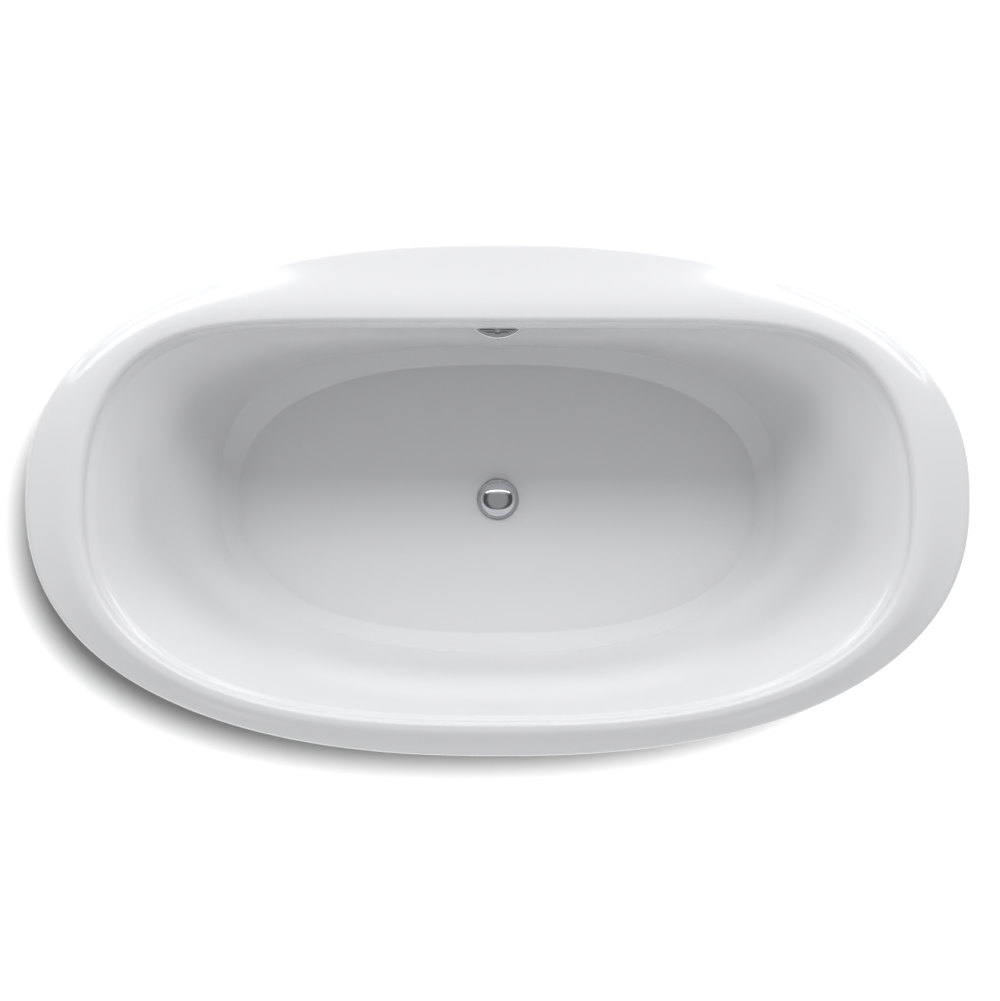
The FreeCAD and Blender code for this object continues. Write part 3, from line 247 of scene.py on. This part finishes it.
# ================================================================== bath shell
def rim_rows(side):
    """(half-size, height) of the control rows from the lip to the foot of the ledge."""
    half, rim, roll, ledge = HALF[side], RIM_WIDTH[side], ROLL_WIDTH[side], LEDGE_WIDTH[side]
    fall = RIM_FALL / rim
    step = half - rim - roll
    corner, corner_z = step - ledge, CREST - CREASE_DROP[side]
    return [
        # the turned-down lip
        (half - LIP_DRAFT, EDGE_Z - LIP_DEPTH),
        (half, EDGE_Z - LIP_DEPTH * 0.66),
        (half, EDGE_Z - LIP_DEPTH * 0.33),
        (half, EDGE_Z),
        # the rim, which rises inwards to the crest
        (half - EDGE_RADIUS, EDGE_Z + fall * EDGE_RADIUS),
        (half - rim * 0.5, EDGE_Z + fall * rim * 0.5),
        (half - rim * 0.85, CREST),
        (half - rim, CREST),
        # the roll over the rim's inner edge
        (step + roll * 0.3, CREST),
        (step, CREST - roll * 0.6),
        # the ledge's steep face, and the ledge
        (step - ledge * 0.12, corner_z + (CREASE_DROP[side] - roll) * 0.4),
        (corner + ledge * 0.55, corner_z + ledge * 0.5),
        (corner, corner_z),
    ]


RIM_SHAPES = ([OVAL] * 5 + [mixed(OVAL, ROLL_OUTLINE, share) for share in (0.5, 0.85, 1.0)]
              + [ROLL_OUTLINE] * 3 + [mixed(ROLL_OUTLINE, CREASE_OUTLINE, 0.5), CREASE_OUTLINE])


def wall_rows(side):
    """Control rows of the wall, as shares of its run in and its drop: flared, then steep."""
    top_r, top_z = rim_rows(side)[-1]
    low_r, low_z = FLOOR_HALF[side] + BAND_WIDTH, FLOOR_Z + BAND_HEIGHT
    lean = FLARE[side]
    shares = [(0, 0), (lean * 0.5, 0.13), (lean, 0.29), (lean + (1 - lean) * 0.5, 0.60),
              (lean + (1 - lean) * 0.82, 0.85), (1, 1)]
    return [(top_r + (low_r - top_r) * r, top_z + (low_z - top_z) * z) for r, z in shares]


WALL_SHAPES = [mixed(CREASE_OUTLINE, BAND_OUTLINE, share)
               for share in (0, 0.13, 0.33, 0.62, 0.85, 1)]


def floor_rows(side):
    """The sloping band round the floor."""
    return [(FLOOR_HALF[side] + BAND_WIDTH, FLOOR_Z + BAND_HEIGHT), (FLOOR_HALF[side], FLOOR_Z)]


def drain_rows(side):
    """The floor, from its outline to the flat land round the drain."""
    return [(FLOOR_HALF[side], FLOOR_Z), (RECESS_RADIUS + DRAIN_LAND, DRAIN_Z)]


def dry_rows(side):
    """The shell's underside, one wall inside the wetted rows."""
    wet = rim_rows(side)[:-1] + wall_rows(side) + floor_rows(side)[1:]
    rows = offset_rows(wet, WALL)
    rows[0] = (wet[0][0] - WALL, wet[0][1])
    rows[-1] = (FLOOR_HALF[side] + FLOOR_CORNER, DRY_FLOOR)
    return rows


DRY_SHAPES = RIM_SHAPES[:-1] + WALL_SHAPES + [FLOOR_OUTLINE]


def circle(radius, z):
    return ring_points((radius, z), (radius, z), (radius, z), ROUND)


def bath_shell(material):
    """The whole moulding, wetted side and dry side, with its drain hole."""
    rim = spline_rows(rim_rows, RIM_SHAPES, RIM_STEPS)
    wall = spline_rows(wall_rows, WALL_SHAPES, WALL_STEPS)
    band = spline_rows(floor_rows, [BAND_OUTLINE, FLOOR_OUTLINE], BAND_STEPS)
    basin = spline_rows(drain_rows, [FLOOR_OUTLINE, ROUND], BASIN_STEPS)
    seat = DRAIN_Z - DRAIN_RECESS
    drain = [circle(RECESS_RADIUS + out, DRAIN_Z + up) for out, up in RECESS_EDGE]
    drain += [circle(RECESS_RADIUS, seat + SEAT_ROUND), circle(RECESS_RADIUS - SEAT_ROUND, seat)]
    drain += [circle(HOLE_RADIUS + HOLE_LAND, seat), circle(HOLE_RADIUS, seat),
              circle(HOLE_RADIUS, DRY_FLOOR), circle(HOLE_RADIUS + HOLE_LAND, DRY_FLOOR)]
    dry = spline_rows(dry_rows, DRY_SHAPES, DRY_STEPS)[::-1]
    rings = joined([rim, wall, band, basin])[:-1] + drain + dry
    return tube_of_rings("bath_shell_moulding", rings, material)


def slot_cutter():
    """The overflow slot's shape, across the back wall."""
    half_x, half_z = SLOT_WIDTH / 2, SLOT_HEIGHT / 2
    outline = []
    for side, start in ((1, -90), (-1, 90)):
        for i in range(SLOT_STEPS + 1):
            turn = math.radians(start + 180 * i / SLOT_STEPS)
            outline.append((side * (half_x - half_z) + half_z * math.cos(turn),
                            SLOT_MIDDLE + half_z * math.sin(turn)))
    count = len(outline)
    vertices = [(x, y, z) for y in SLOT_DEPTHS for x, z in outline]
    faces = [tuple(range(count)), tuple(range(2 * count - 1, count - 1, -1))]
    faces += [(k, count + k, count + (k + 1) % count, (k + 1) % count) for k in range(count)]
    return vertices, faces


def cut_overflow_slot(shell, material):
    vertices, faces = slot_cutter()
    cutter = mesh_object("slot_cutter", vertices, faces, material)
    cut = shell.modifiers.new("slot", "BOOLEAN")
    cut.object, cut.operation, cut.solver = cutter, "DIFFERENCE", "EXACT"
    graph = bpy.context.evaluated_depsgraph_get()
    shell.data = bpy.data.meshes.new_from_object(shell.evaluated_get(graph))
    shell.modifiers.clear()
    bpy.data.objects.remove(cutter)


# ================================================================== outer skirt
def skirt_rows(side):
    """Control rows of the outside: a straight taper that bows out by the belly."""
    top_r = HALF[side] - LIP_DRAFT - WALL - SKIRT_LIP_GAP
    base_r = HALF[side] - SKIRT_INSET[side]
    rows = []
    for i in range(SKIRT_ROWS):
        t = i / (SKIRT_ROWS - 1)
        rows.append((top_r + (base_r - top_r) * t + SKIRT_BELLY * 4 * t * (1 - t),
                     skirt_high.z + (skirt_low.z - skirt_high.z) * t))
    return rows


def skirt_inside_rows(side):
    outside = skirt_rows(side)
    rows = offset_rows(outside, -SKIRT_WALL)
    for end in (0, -1):
        rows[end] = (outside[end][0] - SKIRT_WALL, outside[end][1])
    return rows


def outer_skirt(material):
    outside = spline_rows(skirt_rows, [OVAL] * SKIRT_ROWS, SKIRT_OUTSIDE_STEPS)
    inside = spline_rows(skirt_inside_rows, [OVAL] * SKIRT_ROWS, SKIRT_INSIDE_STEPS)[::-1]
    rings = joined([outside, [outside[-1], inside[0]], inside, [inside[-1], outside[0]]],
                   SKIRT_EDGE_ROUND)
    return tube_of_rings("outer_skirt_moulding", rings[:-1], material)


# ================================================================== stopper spring
SPRING_WIRE = 0.001
SPRING_TURNS = 7
SPRING_RINGS = 36         # in each turn
SPRING_SECTION = 16       # points round the wire


def compression_spring(material):
    """A helix of round wire that fills the spring's box."""
    low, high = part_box("stopper_spring")
    wire, count = SPRING_WIRE / 2, SPRING_TURNS * SPRING_RINGS
    radius, rise = high.x - wire, high.z - low.z - SPRING_WIRE
    around = np.arange(SPRING_SECTION) * (2 * math.pi / SPRING_SECTION)
    rings = []
    for i in range(count + 1):
        angle = 2 * math.pi * i / SPRING_RINGS
        out = np.array((math.cos(angle), math.sin(angle), 0.0))
        centre = out * radius + np.array((0.0, 0.0, low.z + wire + rise * i / count))
        rings.append(centre + wire * (np.outer(np.cos(around), out)
                                      + np.outer(np.sin(around), (0.0, 0.0, 1.0))))
    return tube_of_rings("compression_spring", rings, material, closed=False)


# ================================================================== materials
NOISE_RANGE = (0.3, 0.7)  # where most of a noise texture's values lie
BROAD = 0.15              # the tones' grain, against the relief's


def nodes_of(material):
    material.use_nodes = True
    tree = material.node_tree
    return tree, tree.nodes["Principled BSDF"]


def noise(tree, scale, detail=3.0, rough=0.5, stretch=(1, 1, 1)):
    coordinates = tree.nodes.new("ShaderNodeTexCoord")
    mapping = tree.nodes.new("ShaderNodeMapping")
    mapping.inputs["Scale"].default_value = stretch
    texture = tree.nodes.new("ShaderNodeTexNoise")
    texture.inputs["Scale"].default_value = scale
    texture.inputs["Detail"].default_value = detail
    texture.inputs["Roughness"].default_value = rough
    tree.links.new(coordinates.outputs["Object"], mapping.inputs["Vector"])
    tree.links.new(mapping.outputs["Vector"], texture.inputs["Vector"])
    return texture.outputs["Fac"]


def spread(tree, source, low, high):
    """source's usual range, spread over low to high."""
    node = tree.nodes.new("ShaderNodeMapRange")
    node.inputs["From Min"].default_value = NOISE_RANGE[0]
    node.inputs["From Max"].default_value = NOISE_RANGE[1]
    node.inputs["To Min"].default_value = low
    node.inputs["To Max"].default_value = high
    tree.links.new(source, node.inputs["Value"])
    return node.outputs["Result"]


def two_tone(tree, source, one, other):
    """A colour that goes from one to other over source's usual range."""
    ramp = tree.nodes.new("ShaderNodeValToRGB")
    stops = ramp.color_ramp.elements
    stops[0].position, stops[1].position = NOISE_RANGE
    stops[0].color, stops[1].color = (*one, 1), (*other, 1)
    tree.links.new(source, ramp.inputs["Fac"])
    return ramp.outputs["Color"]


def bump(tree, source, strength, distance):
    node = tree.nodes.new("ShaderNodeBump")
    node.inputs["Strength"].default_value = strength
    node.inputs["Distance"].default_value = distance
    tree.links.new(source, node.inputs["Height"])
    return node.outputs["Normal"]


def finish(name, tones, rough, metallic=0.0, grain=60.0, relief=(0.1, 0.0001)):
    """A material with two close tones, a roughness that varies and a fine relief."""
    material = bpy.data.materials.new(name)
    tree, shader = nodes_of(material)
    shader.inputs["Metallic"].default_value = metallic
    broad, fine = noise(tree, grain * BROAD), noise(tree, grain)
    tree.links.new(two_tone(tree, broad, *tones), shader.inputs["Base Color"])
    tree.links.new(spread(tree, fine, *rough), shader.inputs["Roughness"])
    tree.links.new(bump(tree, fine, *relief), shader.inputs["Normal"])
    return material


def plywood_finish():
    material = bpy.data.materials.new("plywood_finish")
    tree, shader = nodes_of(material)
    grain = noise(tree, scale=22.0, detail=6.0, rough=0.6, stretch=(1, 9, 40))
    tree.links.new(two_tone(tree, grain, (0.42, 0.27, 0.15), (0.66, 0.47, 0.29)),
                   shader.inputs["Base Color"])
    tree.links.new(spread(tree, grain, 0.75, 0.55), shader.inputs["Roughness"])
    tree.links.new(bump(tree, grain, 0.4, 0.0006), shader.inputs["Normal"])
    return material


def galvanised_finish():
    material = bpy.data.materials.new("galvanised_finish")
    tree, shader = nodes_of(material)
    coordinates = tree.nodes.new("ShaderNodeTexCoord")
    spangle = tree.nodes.new("ShaderNodeTexVoronoi")
    spangle.inputs["Scale"].default_value = 110.0
    tree.links.new(coordinates.outputs["Object"], spangle.inputs["Vector"])
    tree.links.new(two_tone(tree, spangle.outputs["Color"], (0.42, 0.44, 0.46), (0.62, 0.64, 0.66)),
                   shader.inputs["Base Color"])
    shader.inputs["Metallic"].default_value = 0.85
    tree.links.new(spread(tree, noise(tree, 40.0), 0.38, 0.55), shader.inputs["Roughness"])
    tree.links.new(bump(tree, spangle.outputs["Distance"], 0.15, 0.0003), shader.inputs["Normal"])
    return material


acrylic = finish("acrylic_finish", ((0.853, 0.855, 0.868), (0.868, 0.87, 0.883)), (0.10, 0.16),
                 grain=9.0, relief=(0.02, 0.0004))
chrome = finish("chrome_finish", ((0.60, 0.61, 0.63), (0.64, 0.65, 0.67)), (0.04, 0.09),
                metallic=1.0, grain=120.0, relief=(0.02, 0.00005))
FINISHES = {
    "white_acrylic": acrylic,
    "chrome": chrome,
    "white_sealant": finish("sealant_finish", ((0.78, 0.78, 0.76), (0.82, 0.82, 0.80)),
                            (0.45, 0.6), grain=50.0, relief=(0.3, 0.0004)),
    "plywood": plywood_finish(),
    "galvanised_steel": galvanised_finish(),
    "zinc_steel": finish("zinc_finish", ((0.55, 0.56, 0.57), (0.66, 0.66, 0.64)), (0.25, 0.4),
                         metallic=1.0, grain=160.0),
    "black_nylon": finish("nylon_finish", ((0.018, 0.018, 0.020), (0.028, 0.028, 0.030)),
                          (0.45, 0.62), grain=420.0, relief=(0.25, 0.0002)),
    "black_rubber": finish("rubber_finish", ((0.014, 0.014, 0.015), (0.024, 0.024, 0.024)),
                           (0.7, 0.88), grain=300.0, relief=(0.3, 0.0002)),
    "red_fibre": finish("fibre_finish", ((0.22, 0.045, 0.03), (0.30, 0.07, 0.045)), (0.7, 0.85),
                        grain=260.0, relief=(0.3, 0.0002)),
    "brass": finish("brass_finish", ((0.62, 0.44, 0.18), (0.70, 0.52, 0.25)), (0.22, 0.34),
                    metallic=1.0, grain=140.0),
    "white_pvc": finish("pvc_finish", ((0.74, 0.74, 0.72), (0.79, 0.79, 0.77)), (0.32, 0.45),
                        grain=70.0, relief=(0.12, 0.0003)),
    "spring_steel": finish("spring_finish", ((0.48, 0.48, 0.48), (0.58, 0.58, 0.57)),
                           (0.2, 0.3), metallic=1.0, grain=300.0),
}


# ================================================================== pieces
for entry in frame["record"]["subparts"]:
    node = frame["nodes"][entry["node"]]
    for slot in node.material_slots:
        slot.material = FINISHES[entry["material_slot"]]

shell = bath_shell(acrylic)
cut_overflow_slot(shell, acrylic)
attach(shell, "bath")
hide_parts("bath_shell")

skirt = outer_skirt(acrylic)
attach(skirt, "bath")
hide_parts("outer_skirt")

# the stopper's spring, which its stem squeezes as it goes down; here it is a fixed helix on the
# bath
spring = compression_spring(FINISHES["spring_steel"])
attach(spring, "bath")
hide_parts("stopper_spring")
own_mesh(spring)


# ================================================================== stage, light and camera
FLOOR_TONE, FLOOR_ROUGHNESS, FLOOR_SHINE = 0.55, 0.9, 0.2


def floor_finish():
    material = bpy.data.materials.new("studio_floor")
    tree, shader = nodes_of(material)
    shader.inputs["Base Color"].default_value = (FLOOR_TONE, FLOOR_TONE, FLOOR_TONE, 1)
    shader.inputs["Roughness"].default_value = FLOOR_ROUGHNESS
    shader.inputs["Specular IOR Level"].default_value = FLOOR_SHINE
    return material


STAGE = 60.0              # half the floor's width
STAGE_CORNERS = [(-STAGE, -STAGE, 0), (STAGE, -STAGE, 0), (STAGE, STAGE, 0), (-STAGE, STAGE, 0)]
floor = mesh_object("studio_floor", STAGE_CORNERS, [(0, 1, 2, 3)], floor_finish())


def way_to(lean, bearing):
    """A direction that leans from upright, to the back at bearing 0 and to the right at 90."""
    lean, bearing = math.radians(lean), math.radians(bearing)
    return Vector((math.sin(lean) * math.sin(bearing), math.sin(lean) * math.cos(bearing),
                   math.cos(lean)))


def lamp(name, data, way, distance):
    """A lamp out along way from the middle of the rim, aimed back at it."""
    piece = bpy.data.objects.new(name, data)
    piece.location = Vector((0, 0, CREST)) + way * distance
    piece.rotation_euler = way.to_track_quat("Z", "Y").to_euler()
    scene.collection.objects.link(piece)
    return piece


SOFTBOX_DISTANCE = 3.6    # from the middle of the rim
# lean and bearing in degrees, level size and height in metres, and power in watts
SOFTBOXES = {
    "key_high": (30, 0, 8.0, 0.66, 4.0),
    "key_middle": (40, 0, 8.0, 0.66, 82.0),
    "key_low": (50, 0, 8.0, 0.66, 46.0),
    "back_low": (72, 0, 8.0, 0.66, 50.0),
    "front_high": (50, 180, 8.0, 0.66, 6.0),
    "front_low": (70, 180, 8.0, 0.66, 44.0),
}
# the softboxes light everything but the floor
not_floor = bpy.data.collections.new("not_floor")
not_floor.objects.link(floor)
not_floor.collection_objects[0].light_linking.link_state = "EXCLUDE"
for name, (lean, bearing, level, high, power) in SOFTBOXES.items():
    area = bpy.data.lights.new(name, "AREA")
    area.shape, area.size, area.size_y, area.energy = "RECTANGLE", level, high, power
    softbox = lamp(name, area, way_to(lean, bearing), SOFTBOX_DISTANCE)
    softbox.light_linking.receiver_collection = not_floor

# a wash from nearly overhead lights the floor, and leaves a soft shadow at the front left
WASH_ENERGY, WASH_ANGLE = 5.6, 7.2
WASH_LEAN, WASH_BEARING, WASH_DISTANCE = 8.0, 52, 6.0
wash = bpy.data.lights.new("floor_wash", "SUN")
wash.energy, wash.angle = WASH_ENERGY, math.radians(WASH_ANGLE)
floor_only = bpy.data.collections.new("floor_only")
floor_only.objects.link(floor)
washer = lamp("floor_wash", wash, way_to(WASH_LEAN, WASH_BEARING), WASH_DISTANCE)
washer.light_linking.receiver_collection = floor_only

# the air's ramp: a place on it, and the level there; it brightens below and overhead
AIR_LEVELS = ((0.09, 0.85), (0.16, 0.11), (0.73, 0.11), (0.83, 0.38))
world = bpy.data.worlds.new("studio_air")
world.use_nodes = True
air = world.node_tree
where = air.nodes.new("ShaderNodeTexCoord")
split = air.nodes.new("ShaderNodeSeparateXYZ")
glow = air.nodes.new("ShaderNodeValToRGB")
stops = glow.color_ramp.elements
stops[0].position, stops[1].position = AIR_LEVELS[0][0], AIR_LEVELS[1][0]
for height, _ in AIR_LEVELS[2:]:
    stops.new(height)
for stop, (_, level) in zip(stops, AIR_LEVELS):
    stop.color = (level, level, level, 1)
air.links.new(where.outputs["Generated"], split.inputs["Vector"])
air.links.new(split.outputs["Z"], glow.inputs["Fac"])
air.links.new(glow.outputs["Color"], air.nodes["Background"].inputs["Color"])
scene.world = world
scene.view_settings.view_transform = "Standard"

SENSOR = 36.0             # in millimetres
CAMERA_X, CAMERA_Y = 0.004, -0.0026
CAMERA_HEIGHT = 10.0      # above the rim
CAMERA_REACH = 60.0
VIEW_WIDTH = 1.759        # what the picture's width shows at the rim
camera_data = bpy.data.cameras.new("camera")
camera_data.sensor_width = SENSOR
camera_data.lens = SENSOR * CAMERA_HEIGHT / VIEW_WIDTH
camera_data.clip_end = CAMERA_REACH
camera = bpy.data.objects.new("camera", camera_data)
camera.location = (CAMERA_X, CAMERA_Y, CREST + CAMERA_HEIGHT)
scene.collection.objects.link(camera)
scene.camera = camera
